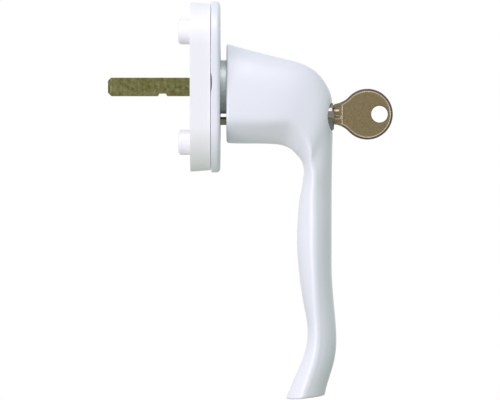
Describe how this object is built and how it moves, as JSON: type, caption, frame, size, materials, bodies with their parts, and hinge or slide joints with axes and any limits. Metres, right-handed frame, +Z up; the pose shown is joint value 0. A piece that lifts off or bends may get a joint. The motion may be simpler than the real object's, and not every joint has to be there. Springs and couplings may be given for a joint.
{
  "type": "locking window handle",
  "caption": "Window handle with a square spindle, a clip-on rosette cover and a push-pin lock in the neck, key in place.",
  "frame": {"origin": "on the spindle's axis, in the plane of the rosette's back, where it lies on the sash", "axes": "+X from the sash into the room along the spindle, +Z up, the grip hanging towards -Z, +Y to the right for someone in the room facing the window"},
  "size_m": [0.1105, 0.0344, 0.1543],
  "materials": {
    "base_plastic": "white moulded plastic, satin",
    "plate_steel": "zinc plated sheet steel",
    "bush_plastic": "natural acetal, moulded",
    "spring_steel": "hardened spring steel, plain",
    "white_coat": "aluminium with a white powder coat, smooth satin",
    "turned_steel": "turned steel, bright",
    "yellow_zinc": "steel, yellow passivated zinc plating, mottled",
    "nickel": "turned brass, nickel plated, polished",
    "brass": "turned brass, plain",
    "key_brass": "stamped brass, dulled by handling"
  },
  "bodies": {
    "rosette": {"rosette_base": "base_plastic", "support_plate": "plate_steel", "bearing_bush": "bush_plastic", "detent_spring_upper": "spring_steel", "detent_spring_lower": "spring_steel", "cover_clip_upper": "spring_steel", "cover_clip_lower": "spring_steel"},
    "cover": {"rosette_cover": "white_coat"},
    "handle": {"handle_casting": "white_coat", "neck_sleeve": "turned_steel", "detent_cam": "turned_steel", "retaining_ring": "spring_steel", "spindle": "yellow_zinc", "spindle_roll_pin": "spring_steel", "lock_body": "nickel", "chamber_strip": "brass", "driver_pins": "brass", "tumbler_springs": "spring_steel", "lock_grub_screw": "turned_steel"},
    "lock_plug": {"lock_plug": "nickel", "key_pins": "brass", "plug_clip": "spring_steel", "cam_drum": "turned_steel"},
    "lock_slider": {"lock_slider": "turned_steel", "slider_peg": "turned_steel", "locking_pin": "yellow_zinc"},
    "key": {"key": "key_brass"}
  },
  "joints": [
    {"name": "handle_turn", "type": "hinge", "parent": "rosette", "child": "handle", "pos_m": [0, 0, 0], "axis": [-1, 0, 0], "range_deg": [0, 180], "deforming": ["detent_spring_upper", "detent_spring_lower"]},
    {"name": "lock_turn", "type": "hinge", "parent": "handle", "child": "lock_plug", "pos_m": [0.05, 0, -0.01057], "axis": [-1, 0, 0], "range_deg": [0, 90]},
    {"name": "lock_pin_slide", "type": "slide", "parent": "handle", "child": "lock_slider", "axis": [-1, 0, 0], "range_m": [0, 0.0045]},
    {"name": "key_withdraw", "type": "slide", "parent": "lock_plug", "child": "key", "axis": [1, 0, 0], "range_m": [0, 0.018]},
    {"name": "cover_turn", "type": "hinge", "parent": "rosette", "child": "cover", "pos_m": [0, 0, 0], "axis": [-1, 0, 0], "range_deg": [-90, 0], "deforming": ["cover_clip_upper", "cover_clip_lower"]}
  ],
  "couplings": [
    {"joint": "lock_pin_slide", "follows": "lock_turn", "m_per_rad": 0.0028647}
  ]
}
